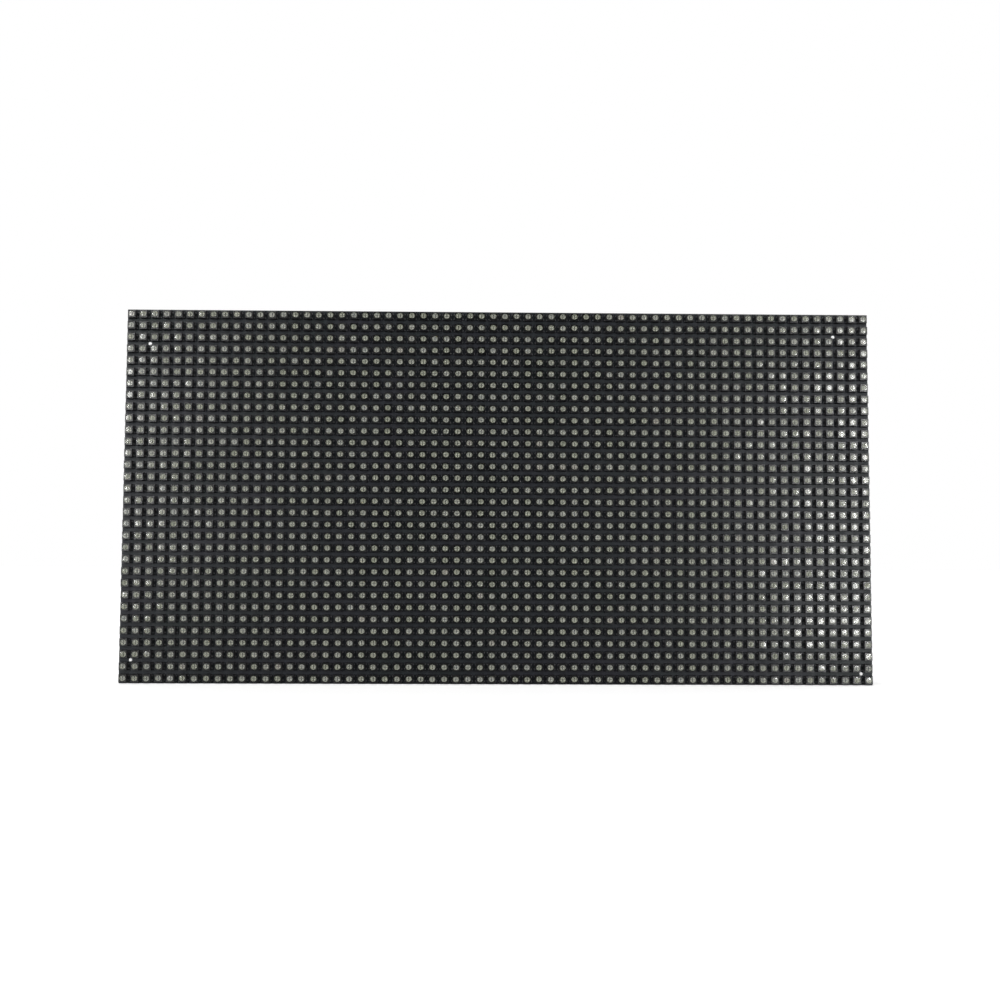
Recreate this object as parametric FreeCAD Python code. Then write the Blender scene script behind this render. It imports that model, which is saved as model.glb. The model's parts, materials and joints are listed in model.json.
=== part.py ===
import FreeCAD, Part
import math
import os

from FreeCAD import Vector

# RGB LED matrix panel, 64 by 32 pixels, millimetres.
# It is upright on its long bottom edge, as it is fixed in use. The display faces -Y and +Z is up.
# +X is to the right seen from the front. The origin is at the bottom, in the middle of the width and depth.

# Display field
pixel_pitch = 3.0
columns = 64
rows = 32
board_relief = 0.2  # the board is this much smaller than the pixel field, so that panels butt together

# LED package: black square body with drafted walls
led_base = 2.1
led_top = 1.94
led_height = 1.5

# Circuit board
board_thickness = 1.6

# Moulded rear frame
frame_depth = 11.0
frame_corner = 1.0
frame_web = 2.0
frame_wall = 1.8
wall_draft = 0.25
window_radius = 4.0
collar_thickness = 1.3
collar_depth = 4.0
rear_chamfer = 0.6
gusset_thickness = 1.2

# Threaded inserts, where the panel is bolted up
insert_edge = 7.9
insert_bore = 2.5
insert_diameter = 5.0
insert_length = 6.0
insert_pocket_spare = 0.6
insert_boss_wall = 2.1
insert_boss_floor = 1.6

# Screws and solder nuts that hold the frame to the board
nut_diameter = 5.0
nut_height = 4.0
nut_bore = 2.05
screw_core_clearance = 0.02
screw_grip = 3.2
screw_head_diameter = 4.6
screw_head_height = 1.7
screw_head_edge = 0.7
screw_hole_clearance = 0.35
screw_recess_width = 0.8
screw_recess_depth = 0.9
screw_recess_span = 2.4
tower_floor = 1.6
tower_head_clearance = 0.4
tower_wall = 1.6

# Box headers for the ribbon cables
contact_pitch = 2.54
contacts_per_row = 8
contact_width = 0.64
contact_tip_gap = 1.4
contact_tail_thickness = 0.4
contact_tail_reach = 1.2
contact_slot_clearance = 0.02
header_width = 8.9
header_end = 5.08
header_height = 9.0
header_wall = 1.2
header_floor = 2.4
header_lift = 0.5
header_key_width = 4.5
header_edge_gap = 3.0

# Power header
power_pitch = 3.96
power_contacts = 4
power_pin_width = 1.14
power_pin_height = 8.8
power_pin_tip = 0.9
power_pin_point = 0.3
power_base_depth = 8.0
power_base_height = 3.6
power_wall_height = 9.6
power_wall_thickness = 1.3
power_foot_width = 1.1
power_latch_width = 2.2
power_latch_depth = 1.6
power_tail_width = 1.4
power_tail_thickness = 0.5
power_tail_reach = 2.2

# Column driver chips, one per colour for each sixteen columns
outputs_per_driver = 16
colours = 3
driver_length = 8.65
driver_width = 3.9
driver_height = 1.65
driver_bar_gap = 1.0

# Row switch and row decoder chips
switch_length = 4.9
switch_width = 3.9
switch_height = 1.6
switches_per_side = 2
decoder_length = 9.9
decoder_width = 3.9
decoder_height = 1.6
switch_line = 13.0

# Buffer chips behind the data input
buffer_length = 6.5
buffer_width = 4.4
buffer_height = 1.1
buffer_count = 3
buffer_spacing = 8.8
buffer_bar_gap = 7.5
chip_draft = 0.12

# Capacitors and resistors
can_diameter = 8.0
can_height = 9.0
can_bevel = 0.5
can_base_size = 8.3
can_base_height = 1.0
can_base_cut = 1.8
can_gap = 3.0
ceramic_length = 2.0
ceramic_width = 1.25
ceramic_height = 0.9
resistor_length = 1.6
resistor_width = 0.8
resistor_height = 0.45
passive_side_shift = 2.2
passive_row_gap = 3.0
array_length = 3.2
array_width = 1.6
array_height = 0.55
array_count = 4
array_spacing = 7.0
array_header_gap = 1.6

# Two edges closer than this lie in one plane
same_plane = 0.001

# Sizes that follow from the ones above
field_width = columns * pixel_pitch
field_height = rows * pixel_pitch
board_width = field_width - board_relief
board_height = field_height - board_relief
panel_depth = led_height + board_thickness + frame_depth
middle = board_height / 2
board_front = led_height - panel_depth / 2
board_back = board_front + board_thickness
web_front = board_back + frame_depth - frame_web
frame_back = board_back + frame_depth

driver_blocks = columns // outputs_per_driver
block_width = outputs_per_driver * pixel_pitch
bar_x = field_width / 2 - block_width

insert_boss_diameter = insert_diameter + 2 * insert_boss_wall
insert_x = board_width / 2 - insert_edge
insert_z = board_height / 2 - insert_edge
insert_pocket_depth = insert_length + insert_pocket_spare
border = insert_edge + insert_boss_diameter / 2

tower_recess = screw_head_diameter + 2 * tower_head_clearance
tower_diameter = tower_recess + 2 * tower_wall
bar_width = tower_diameter
tower_seat = board_back + nut_height
screw_seat = tower_seat + tower_floor
screw_core = nut_bore - 2 * screw_core_clearance

header_span = (contacts_per_row - 1) * contact_pitch
header_length = header_span + 2 * header_end
header_x = board_width / 2 - border - header_edge_gap - header_width / 2

window_half_height = board_height / 2 - border
outer_window = (bar_x + bar_width / 2, board_width / 2 - border)
inner_window = (-bar_x + bar_width / 2, bar_x - bar_width / 2)

driver_pitch = (block_width - bar_width - 2 * driver_bar_gap - driver_length) / (colours - 1)
driver_line = field_height / 4
passive_line = driver_line + driver_width / 2 + passive_row_gap


def block(x, y, z, size_x, size_y, size_z):
    """A box centred on x and z that grows from y towards the back."""
    return Part.makeBox(size_x, size_y, size_z, Vector(x - size_x / 2, y, z - size_z / 2))


def cylinder(x, y, z, diameter, length):
    """A round bar along the depth, from y towards the back."""
    return Part.makeCylinder(diameter / 2, length, Vector(x, y, z), Vector(0, 1, 0))


def tube(outside, bore, length):
    """A round sleeve standing on y = 0."""
    return cylinder(0, 0, 0, outside, length).cut(cylinder(0, 0, 0, bore, length))


def tapered_block(size_x, size_y, size_z, taper):
    """A box on y = 0 whose four sides lean in by taper over its height."""
    return Part.makeWedge(
        -size_x / 2, 0, -size_z / 2, -size_z / 2 + taper, -size_x / 2 + taper,
        size_x / 2, size_y, size_z / 2, size_z / 2 - taper, size_x / 2 - taper,
    )


def rounded_slab(x_low, x_high, z_low, z_high, radius, y, thickness):
    """A plate across the depth with rounded corners."""
    plate = Part.makeBox(x_high - x_low, thickness, z_high - z_low, Vector(x_low, y, z_low))
    uprights = [edge for edge in plate.Edges if abs(edge.tangentAt(edge.FirstParameter).y) > 0.9]
    return plate.makeFillet(radius, uprights)


def turned(profile):
    """A solid of revolution from (radius, height) points, standing on y = 0."""
    points = [Vector(radius, height, 0) for radius, height in profile]
    face = Part.Face(Part.makePolygon(points + points[:1]))
    return face.revolve(Vector(0, 0, 0), Vector(0, 1, 0), 360)


def placed(shape, x, z, y=board_back):
    """A copy of a shape moved to a place on the back of the board."""
    copy = shape.copy()
    copy.translate(Vector(x, y, z))
    return copy


def joined(shapes):
    """Several touching shapes made into one."""
    return shapes[0].multiFuse(shapes[1:]).removeSplitter()


def mirrored_pair(value):
    return (-value, value)


def insert_places():
    """Four corners and the middle of the long sides."""
    return [(x, middle + z) for x in (-insert_x, 0, insert_x) for z in mirrored_pair(insert_z)]


def screw_places():
    """Where each upright bar of the frame meets the long sides."""
    return [(x, middle + z) for x in mirrored_pair(bar_x) for z in mirrored_pair(insert_z)]


def circuit_board():
    """The bare board. It is cut out of its sheet by scoring and snapping, so its corners are square."""
    return block(0, board_front, middle, board_width, board_thickness, board_height)


def led_rows(first, last):
    """Bars of LED packages, one bar for each row of pixels, counted from the top."""
    length = (columns - 1) * pixel_pitch + led_base
    bar = tapered_block(length, led_height, led_base, (led_base - led_top) / 2)
    bar.rotate(Vector(0, 0, 0), Vector(0, 0, 1), 180)
    top = middle + (rows - 1) * pixel_pitch / 2
    return [placed(bar, 0, top - row * pixel_pitch, board_front) for row in range(first, last)]


def frame_shell():
    """An open tray: four drafted walls and the web that closes the back."""
    shell = rounded_slab(
        -board_width / 2, board_width / 2, 0, board_height, frame_corner, board_back, frame_depth
    )
    rim = [
        edge for edge in shell.Edges
        if abs(edge.CenterOfMass.y - frame_back) < same_plane
    ]
    shell = shell.makeChamfer(rear_chamfer, rim)
    hollow = tapered_block(
        board_width - 2 * frame_wall, frame_depth - frame_web, board_height - 2 * frame_wall, wall_draft
    )
    return shell.cut(placed(hollow, 0, middle))


def windows():
    """The openings of the web: the middle one for power, the outer two for the data cables."""
    low = middle - window_half_height
    high = middle + window_half_height
    left = (-outer_window[1], -outer_window[0])
    return [(x_low, x_high, low, high) for x_low, x_high in (left, inner_window, outer_window)]


def window_collar(x_low, x_high, z_low, z_high):
    """The rib that runs round a window under the web."""
    t = collar_thickness
    start = web_front - collar_depth
    height = collar_depth + frame_web
    return rounded_slab(
        x_low - t, x_high + t, z_low - t, z_high + t, window_radius + t, start, height
    )


def insert_boss(x, z):
    """A round boss for an insert, tied to the nearest walls by gussets."""
    depth = insert_pocket_depth + insert_boss_floor
    start = frame_back - depth
    boss = cylinder(x, start, z, insert_boss_diameter, depth)
    rib_depth = depth - rear_chamfer
    wall_z = middle + math.copysign(board_height / 2 - frame_wall / 2, z - middle)
    ribs = [block(x, start, (z + wall_z) / 2, gusset_thickness, rib_depth, abs(wall_z - z))]
    if x:
        wall_x = math.copysign(board_width / 2 - frame_wall / 2, x)
        ribs.append(block((x + wall_x) / 2, start, z, abs(wall_x - x), rib_depth, gusset_thickness))
    return joined([boss] + ribs)


def screw_tower(x, z):
    """A round tower that comes down on a solder nut."""
    return cylinder(x, tower_seat, z, tower_diameter, frame_back - tower_seat)


def rear_frame():
    solids = [frame_shell()]
    solids += [window_collar(*window) for window in windows()]
    solids += [insert_boss(x, z) for x, z in insert_places()]
    body = joined(solids)
    for x_low, x_high, z_low, z_high in windows():
        hole = rounded_slab(
            x_low, x_high, z_low, z_high, window_radius, board_back, frame_depth
        )
        body = body.cut(hole)
    body = joined([body] + [screw_tower(x, z) for x, z in screw_places()])
    for x, z in screw_places():
        recess_length = frame_back - screw_seat
        body = body.cut(cylinder(x, screw_seat, z, tower_recess, recess_length))
        hole = screw_core + 2 * screw_hole_clearance
        body = body.cut(cylinder(x, tower_seat, z, hole, tower_floor))
    for x, z in insert_places():
        pocket = cylinder(x, frame_back - insert_pocket_depth, z, insert_diameter, insert_pocket_depth)
        body = body.cut(pocket)
    return [body.removeSplitter()]


def mounting_inserts():
    """Brass inserts flush with the back. Thread and knurl are left plain."""
    insert = tube(insert_diameter, insert_bore, insert_length)
    return [placed(insert, x, z, frame_back - insert_length) for x, z in insert_places()]


def board_nuts():
    nut = tube(nut_diameter, nut_bore, nut_height)
    return [placed(nut, x, z) for x, z in screw_places()]


def frame_screws():
    """Pan head screws with a cross recess. The thread itself is left plain."""
    head_radius = screw_head_diameter / 2
    core_radius = screw_core / 2
    length = tower_floor + screw_grip
    top = length + screw_head_height
    screw = turned([
        (0, 0), (core_radius, 0), (core_radius, length), (head_radius, length),
        (head_radius, top - screw_head_edge), (head_radius - screw_head_edge, top), (0, top),
    ])
    start = top - screw_recess_depth
    cross = joined([
        block(0, start, 0, screw_recess_span, screw_recess_depth, screw_recess_width),
        block(0, start, 0, screw_recess_width, screw_recess_depth, screw_recess_span),
    ])
    screw = screw.cut(cross)
    return [placed(screw, x, z, screw_seat - length) for x, z in screw_places()]


def contact_places():
    """Middle of each header contact, as (side, offset along the header)."""
    offsets = [index * contact_pitch - header_span / 2 for index in range(contacts_per_row)]
    return [(side, offset) for side in (-1, 1) for offset in offsets]


def header_housing():
    """A shrouded box on two end feet, with a keyed long side and a hole for each contact."""
    body = block(0, header_lift, 0, header_width, header_height - header_lift, header_length)
    foot_length = header_end - contact_pitch
    for side in (-1, 1):
        foot_z = side * (header_length - foot_length) / 2
        body = joined([body, block(0, 0, foot_z, header_width, header_lift, foot_length)])
    cavity_start = header_lift + header_floor
    cavity_depth = header_height - cavity_start
    cavity = block(
        0, cavity_start, 0,
        header_width - 2 * header_wall, cavity_depth, header_length - 2 * header_wall,
    )
    key = block(-header_width / 2, cavity_start, 0, 2 * header_wall, cavity_depth, header_key_width)
    body = body.cut(cavity).cut(key)
    hole = contact_width + 2 * contact_slot_clearance
    for side, offset in contact_places():
        x = side * contact_pitch / 2
        body = body.cut(block(x, header_lift, offset, hole, header_floor, hole))
    return body


def header_contact():
    """One bent contact: a post up through the floor and a tail on the board towards +X."""
    tip = header_height - contact_tip_gap
    half = contact_width / 2
    reach = header_width / 2 + contact_tail_reach - contact_pitch / 2
    outline = [
        Vector(-half, 0, -half), Vector(reach, 0, -half),
        Vector(reach, contact_tail_thickness, -half), Vector(half, contact_tail_thickness, -half),
        Vector(half, tip, -half), Vector(-half, tip, -half),
    ]
    face = Part.Face(Part.makePolygon(outline + outline[:1]))
    return face.extrude(Vector(0, 0, contact_width))


def header_pins(x, z):
    pins = []
    for side, offset in contact_places():
        pin = header_contact()
        if side < 0:
            pin.rotate(Vector(0, 0, 0), Vector(0, 1, 0), 180)
        pins.append(placed(pin, x + side * contact_pitch / 2, z + offset))
    return pins


def power_places():
    return [(index - (power_contacts - 1) / 2) * power_pitch for index in range(power_contacts)]


def power_housing():
    """A low base with a tall locking wall along its upper side."""
    length = power_contacts * power_pitch
    lift = power_tail_thickness
    wall_z = (power_base_depth - power_wall_thickness) / 2
    foot_x = (length - power_foot_width) / 2
    body = joined([
        block(0, lift, 0, length, power_base_height - lift, power_base_depth),
        block(0, lift, wall_z, length, power_wall_height - lift, power_wall_thickness),
        block(-foot_x, 0, 0, power_foot_width, lift, power_base_depth),
        block(foot_x, 0, 0, power_foot_width, lift, power_base_depth),
    ])
    for side in (-1, 1):
        notch_x = side * power_pitch
        notch_start = power_wall_height - power_latch_depth
        body = body.cut(
            block(notch_x, notch_start, wall_z, power_latch_width, power_latch_depth, power_wall_thickness)
        )
    for x in power_places():
        body = body.cut(block(x, 0, 0, power_pin_width, power_base_height, power_pin_width))
    return body


def power_pins():
    """Square posts with a pointed tip and a flat solder tail on the side away from the locking wall."""
    straight = power_pin_height - power_pin_tip
    point = tapered_block(power_pin_width, power_pin_tip, power_pin_width, power_pin_point)
    point.translate(Vector(0, straight, 0))
    post = joined([block(0, 0, 0, power_pin_width, straight, power_pin_width), point])
    tail_length = power_base_depth / 2 + power_tail_reach
    tail = block(0, 0, -tail_length / 2, power_tail_width, power_tail_thickness, tail_length)
    pin = joined([post, tail])
    return [placed(pin, x, middle) for x in power_places()]


def chip(length, width, height):
    return tapered_block(length, height, width, chip_draft)


def driver_places():
    """X of every driver chip along one row of chips."""
    places = []
    for number in range(driver_blocks):
        block_middle = (number + 0.5) * block_width - field_width / 2
        for colour in range(colours):
            places.append(block_middle + (colour - (colours - 1) / 2) * driver_pitch)
    return places


def driver_chips(side):
    body = chip(driver_length, driver_width, driver_height)
    return [placed(body, x, middle + side * driver_line) for x in driver_places()]


def row_places():
    """X of the row switches, either side of the decoder in the middle window."""
    inner_edge = bar_x - bar_width / 2 - driver_bar_gap - switch_length / 2
    first = decoder_length / 2 + driver_bar_gap + switch_length / 2
    step = (inner_edge - first) / switches_per_side
    steps = range(1, switches_per_side + 1)
    return [side * (first + step * number) for side in (-1, 1) for number in steps]


def row_switches():
    body = chip(switch_length, switch_width, switch_height)
    return [placed(body, x, middle + z) for z in mirrored_pair(switch_line) for x in row_places()]


def row_decoders():
    body = chip(decoder_length, decoder_width, decoder_height)
    return [placed(body, 0, middle + z) for z in mirrored_pair(switch_line)]


def buffer_x():
    return bar_x + bar_width / 2 + buffer_bar_gap + buffer_width / 2


def data_buffers():
    body = chip(buffer_width, buffer_length, buffer_height)
    start = middle - (buffer_count - 1) * buffer_spacing / 2
    return [placed(body, buffer_x(), start + number * buffer_spacing) for number in range(buffer_count)]


def can_x():
    return power_contacts * power_pitch / 2 + can_gap + can_base_size / 2


def capacitor_bases():
    """Square feet with two cut corners."""
    half = can_base_size / 2
    cut = half - can_base_cut
    outline = [
        Vector(-half, 0, -half), Vector(half, 0, -half), Vector(half, 0, cut),
        Vector(cut, 0, half), Vector(-cut, 0, half), Vector(-half, 0, cut),
    ]
    foot = Part.Face(Part.makePolygon(outline + outline[:1])).extrude(Vector(0, can_base_height, 0))
    return [placed(foot, x, middle) for x in mirrored_pair(can_x())]


def capacitor_cans():
    """Aluminium cans with a bevelled top."""
    radius = can_diameter / 2
    can = turned([
        (0, 0), (radius, 0), (radius, can_height - can_bevel),
        (radius - can_bevel, can_height), (0, can_height),
    ])
    return [placed(can, x, middle, board_back + can_base_height) for x in mirrored_pair(can_x())]


def beside_drivers(length, width, height, shift):
    """One small part above or below each driver chip, shifted along the row."""
    part = block(0, 0, 0, length, height, width)
    return [
        placed(part, x + shift, middle + z)
        for z in mirrored_pair(passive_line)
        for x in driver_places()
    ]


def resistor_arrays():
    part = block(0, 0, 0, array_width, array_height, array_length)
    tail_edge = header_x - header_width / 2 - contact_tail_reach
    x = tail_edge - array_header_gap - array_width / 2
    start = middle - (array_count - 1) * array_spacing / 2
    return [placed(part, x, start + number * array_spacing) for number in range(array_count)]


nodes = {
    "circuit_board": [circuit_board()],
    "led_rows_upper": led_rows(0, rows // 2),
    "led_rows_lower": led_rows(rows // 2, rows),
    "rear_frame": rear_frame(),
    "mounting_inserts": mounting_inserts(),
    "board_nuts": board_nuts(),
    "frame_screws": frame_screws(),
    "data_in_housing": [placed(header_housing(), header_x, middle)],
    "data_in_pins": header_pins(header_x, middle),
    "data_out_housing": [placed(header_housing(), -header_x, middle)],
    "data_out_pins": header_pins(-header_x, middle),
    "power_housing": [placed(power_housing(), 0, middle)],
    "power_pins": power_pins(),
    "column_drivers_upper": driver_chips(1),
    "column_drivers_lower": driver_chips(-1),
    "row_switches": row_switches(),
    "row_decoders": row_decoders(),
    "data_buffers": data_buffers(),
    "capacitor_bases": capacitor_bases(),
    "capacitor_cans": capacitor_cans(),
    "ceramic_capacitors": beside_drivers(ceramic_length, ceramic_width, ceramic_height, passive_side_shift),
    "chip_resistors": beside_drivers(resistor_length, resistor_width, resistor_height, -passive_side_shift),
    "resistor_arrays": resistor_arrays(),
}

os.makedirs("parts", exist_ok=True)
for name, solids in nodes.items():
    shape = solids[0] if len(solids) == 1 else Part.makeCompound(solids)
    shape.exportStep(f"parts/{name}.step")
    box = shape.BoundBox
    print(f"{name}: {len(shape.Solids)} solids, {shape.Volume / 1000:.2f} cm3, valid {shape.isValid()},",
          f"y {box.YMin:.2f} to {box.YMax:.2f}")
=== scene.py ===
# %% [markdown]
# # RGB LED matrix panel, 64 by 32 pixels
# The panel is a black circuit board with 2048 small lamps soldered on its front. A moulded tray is screwed
# to its back, and the chips and plugs look out through the windows of the tray.
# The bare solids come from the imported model. This lesson dresses them: each step first says what the piece
# is on the real panel, how it could be made, and why it is made this way here.

import json
import math

import bmesh
import bpy
import numpy as np
from mathutils import Matrix, Vector

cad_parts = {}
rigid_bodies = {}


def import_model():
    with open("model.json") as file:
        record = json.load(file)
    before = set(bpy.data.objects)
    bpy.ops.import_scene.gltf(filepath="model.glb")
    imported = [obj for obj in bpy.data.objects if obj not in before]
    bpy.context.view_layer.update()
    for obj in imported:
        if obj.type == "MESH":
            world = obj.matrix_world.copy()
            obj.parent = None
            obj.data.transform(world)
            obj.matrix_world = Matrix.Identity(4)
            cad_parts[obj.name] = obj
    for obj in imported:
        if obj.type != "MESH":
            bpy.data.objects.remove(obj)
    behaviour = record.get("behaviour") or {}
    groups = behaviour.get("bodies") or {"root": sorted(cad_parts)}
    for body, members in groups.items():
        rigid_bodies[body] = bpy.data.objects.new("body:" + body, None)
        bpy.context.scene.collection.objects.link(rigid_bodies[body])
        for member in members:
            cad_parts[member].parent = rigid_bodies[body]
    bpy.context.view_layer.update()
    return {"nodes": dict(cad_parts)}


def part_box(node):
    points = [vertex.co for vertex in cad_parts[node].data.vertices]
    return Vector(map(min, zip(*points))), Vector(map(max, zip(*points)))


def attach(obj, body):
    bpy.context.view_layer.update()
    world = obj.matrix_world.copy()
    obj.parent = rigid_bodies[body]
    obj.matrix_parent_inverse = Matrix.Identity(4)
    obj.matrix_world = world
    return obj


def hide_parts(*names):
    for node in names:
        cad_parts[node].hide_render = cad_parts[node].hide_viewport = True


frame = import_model()
solids = frame["nodes"]
mm = 0.001
print("solids from the model:", len(solids))

# %% [markdown]
# ## Sizes that everything shares
# The lamps sit on a square grid, 3 mm from one to the next. All other places are read from the solids,
# so the looks land where the model has its parts. Lengths are in millimetres until a mesh is made.

# %% Grid and levels
pixel_pitch = 3.0
columns = 64
rows = 32


def box_of(node):
    """The low and the high corner of a solid, in millimetres."""
    low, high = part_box(node)
    return low / mm, high / mm


board_low, board_high = box_of("circuit_board")
front_skin = board_low.y
back_skin = board_high.y
middle = (board_low.z + board_high.z) / 2
lamp_height = front_skin - box_of("led_rows_upper")[0].y
print("board from", round(front_skin, 3), "to", round(back_skin, 3))
print("lamp height", round(lamp_height, 3))

# %% [markdown]
# ## Finishes
# No real surface is one flat colour. Each finish starts from the same three habits: a slow stain of two or
# three close colours, a second texture that makes the gloss uneven, and a fine relief of the right size.
# The textures read the piece's own coordinates, so they stay put when the piece or the camera moves.
# Every finish is kept under its name in looks, and the pieces ask for it by that name.

# %% Nodes of a material
looks = {}


def start_material(name):
    """A new material, kept under its name. Gives its node tree and its surface shader."""
    looks[name] = bpy.data.materials.new(name)
    looks[name].use_nodes = True
    tree = looks[name].node_tree
    print("finish:", name)
    return tree, tree.nodes["Principled BSDF"]


def fill(node, entries):
    """Constants for some entries of a node."""
    for entry, value in entries.items():
        node.inputs[entry].default_value = value


def add_node(tree, kind, entries=None, **settings):
    """A new node. Its settings come before its entries, because they decide which entries it has."""
    node = tree.nodes.new("ShaderNode" + kind)
    for setting, value in settings.items():
        setattr(node, setting, value)
    fill(node, entries or {})
    return node


def wire(tree, source, node, entry):
    """A link from an output to an entry of a node."""
    tree.links.new(source, node.inputs[entry])


def mix_shaders(tree, factor, first, second):
    mix = add_node(tree, "MixShader")
    for entry, source in enumerate((factor, first, second)):
        wire(tree, source, mix, entry)
    return mix.outputs["Shader"]


# %% Textures
def own_place(tree):
    """The piece's own coordinates."""
    return add_node(tree, "TexCoord").outputs["Object"]


def mapped(tree, vector, entries):
    """The same coordinates, turned or stretched."""
    mapping = add_node(tree, "Mapping", entries)
    wire(tree, vector, mapping, "Vector")
    return mapping.outputs["Vector"]


def noise(tree, vector, scale, detail=4.0, roughness=0.6):
    texture = add_node(tree, "TexNoise", {"Scale": scale, "Detail": detail, "Roughness": roughness})
    wire(tree, vector, texture, "Vector")
    return texture.outputs["Fac"]


def blend_colours(tree, factor, colours, stops=None):
    """A ramp of linear colours. Its usual stops lie in the part of the range where noise really lies."""
    ramp = add_node(tree, "ValToRGB")
    points = ramp.color_ramp.elements
    stops = stops or [0.3 + 0.4 * n / (len(colours) - 1) for n in range(len(colours))]
    while len(points) < len(colours):
        points.new(0.5)
    for point, stop, colour in zip(points, stops, colours):
        point.position = stop
        point.color = (*colour, 1)
    wire(tree, factor, ramp, "Fac")
    return ramp.outputs["Color"]


def mix_colours(tree, factor, first, second, way="MIX"):
    """Two colours mixed. The factor is a number or the output of a texture."""
    mix = add_node(tree, "Mix", data_type="RGBA", blend_type=way)
    if isinstance(factor, float):
        fill(mix, {"Factor": factor})
    else:
        wire(tree, factor, mix, "Factor")
    wire(tree, first, mix, "A")
    wire(tree, second, mix, "B")
    return mix.outputs["Result"]


def stretch(tree, factor, low, high, from_low=0.3, from_high=0.7):
    """Maps a texture's middle range onto the given limits."""
    limits = {"From Min": from_low, "From Max": from_high, "To Min": low, "To Max": high}
    stretched = add_node(tree, "MapRange", limits)
    wire(tree, factor, stretched, "Value")
    return stretched.outputs["Result"]


def relief(tree, shader, height, strength, distance):
    bump = add_node(tree, "Bump", {"Strength": strength, "Distance": distance})
    wire(tree, height, bump, "Height")
    wire(tree, bump.outputs["Normal"], shader, "Normal")


# %% A general finish
patches_per_stain = 3.7
usual_relief = 0.5


def finish(name, dark, light, stain, gloss, grain, depth, metallic=0.0, shine=0.5):
    """Stained colour, uneven gloss and a fine relief. Depth is in metres, stain and grain are scales."""
    tree, shader = start_material(name)
    place = own_place(tree)
    wire(tree, blend_colours(tree, noise(tree, place, stain), [dark, light]), shader, "Base Color")
    patchy = noise(tree, place, stain * patches_per_stain)
    wire(tree, stretch(tree, patchy, *gloss), shader, "Roughness")
    relief(tree, shader, noise(tree, place, grain), usual_relief, depth)
    fill(shader, {"Metallic": metallic, "Specular IOR Level": shine})


# %% [markdown]
# ## The camera
# The photograph looks at the panel from a little below its middle, very slightly turned and tilted upwards.
# A camera could be placed by eye, but the rows of lamps are a ruler: their spacing along the edges gives
# the distance, the height and the three small turns. They are written here as angles.

# %% Place the camera
camera_place = Vector((-3.486, -275.405, 30.632)) * mm
look_up = 0.0604061
turn_left = -0.0145618
roll = -0.0043931

camera_data = bpy.data.cameras.new("photo_camera")
camera_data.sensor_width = 36.0
camera_data.lens = 37.87
camera_data.clip_start = 0.01
camera_data.clip_end = 20.0
camera = bpy.data.objects.new("photo_camera", camera_data)
bpy.context.scene.collection.objects.link(camera)
sideways = Matrix.Rotation(turn_left, 4, "Z")
level_turn = sideways @ Matrix.Rotation(look_up, 4, "X") @ Matrix.Rotation(roll, 4, "Y")
upright = Matrix.Rotation(math.pi / 2, 4, "X")
camera.matrix_world = Matrix.Translation(camera_place) @ level_turn @ upright
bpy.context.scene.camera = camera
print("camera is", round(-camera_place.y / mm), "mm in front of the panel")

# %% [markdown]
# ## Studio
# The panel stands on a white floor in a white room. Black glossy parts show whatever stands in front of
# them, so a photographer hangs a dark cloth behind the camera and puts tall soft boxes to the sides.
# The middle of the panel then stays black, and the lamps near the ends catch the boxes as small half moons.
# One small box stands low and near on the right, for the lamps of the bottom rows. The cloth and the boxes
# are kept out of the camera's own sight, so that other views stay clean.
# The camera sees the floor glow a little, less near the panel, so that its soft shadow stays to be seen.

# %% Helpers of the studio
def plain_stain(tree, shader, scale, dark, light):
    """A large even texture for a piece of the studio, on its own generated coordinates."""
    texture = add_node(tree, "TexNoise", {"Scale": scale})
    shade = blend_colours(tree, texture.outputs["Fac"], [dark, light], [0, 1])
    wire(tree, shade, shader, "Base Color")


def sheet(name, corners, look):
    """One flat face of the studio."""
    mesh = bpy.data.meshes.new(name)
    mesh.from_pydata(corners, [], [(0, 1, 2, 3)])
    mesh.materials.append(looks[look])
    flat = bpy.data.objects.new(name, mesh)
    bpy.context.scene.collection.objects.link(flat)
    print("studio sheet:", name)
    return flat


# %% Floor that keeps the shadow
near_glow = 0.40
far_glow = 0.68
near_reach = 0.35
far_reach = 1.3


def white_floor():
    tree, shader = start_material("white_floor")
    shader.inputs["Roughness"].default_value = 0.9
    plain_stain(tree, shader, 40.0, (0.86, 0.86, 0.86), (0.90, 0.90, 0.90))
    away = add_node(tree, "VectorMath", operation="LENGTH")
    wire(tree, own_place(tree), away, 0)
    glow = add_node(tree, "Emission")
    fade = stretch(tree, away.outputs["Value"], near_glow, far_glow, near_reach, far_reach)
    wire(tree, fade, glow, "Strength")
    both = add_node(tree, "AddShader")
    wire(tree, shader.outputs["BSDF"], both, 0)
    wire(tree, glow.outputs["Emission"], both, 1)
    # Mirrors see the floor as a darker grey copy of itself. This is painted shade in the floor's reflection
    # on the panel.
    floor_painted_dark_in_mirrors = add_node(tree, "BsdfDiffuse", {"Color": (0.46, 0.46, 0.46, 1)})
    sight = add_node(tree, "LightPath").outputs
    unseen = mix_shaders(tree, sight["Is Glossy Ray"], shader.outputs["BSDF"], floor_painted_dark_in_mirrors.outputs["BSDF"])
    seen = mix_shaders(tree, sight["Is Camera Ray"], unseen, both.outputs["Shader"])
    wire(tree, seen, tree.nodes["Material Output"], "Surface")


white_floor()
floor_half = 6.0
corner_signs = [(-1, -1), (1, -1), (1, 1), (-1, 1)]
floor = sheet("floor", [(x * floor_half, y * floor_half, 0) for x, y in corner_signs], "white_floor")

# %% Dark cloth behind the camera
def dark_cloth():
    tree, shader = start_material("dark_cloth")
    shader.inputs["Roughness"].default_value = 1.0
    plain_stain(tree, shader, 300.0, (0.006, 0.006, 0.007), (0.012, 0.012, 0.014))


dark_cloth()
cloth_y = -0.52
cloth_left = -0.185
cloth_right = 0.188
cloth_top = 0.42
cloth_places = [(cloth_left, 0), (cloth_right, 0), (cloth_right, cloth_top), (cloth_left, cloth_top)]
cloth = sheet("dark_cloth", [(x, cloth_y, z) for x, z in cloth_places], "dark_cloth")
cloth.visible_camera = False

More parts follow.
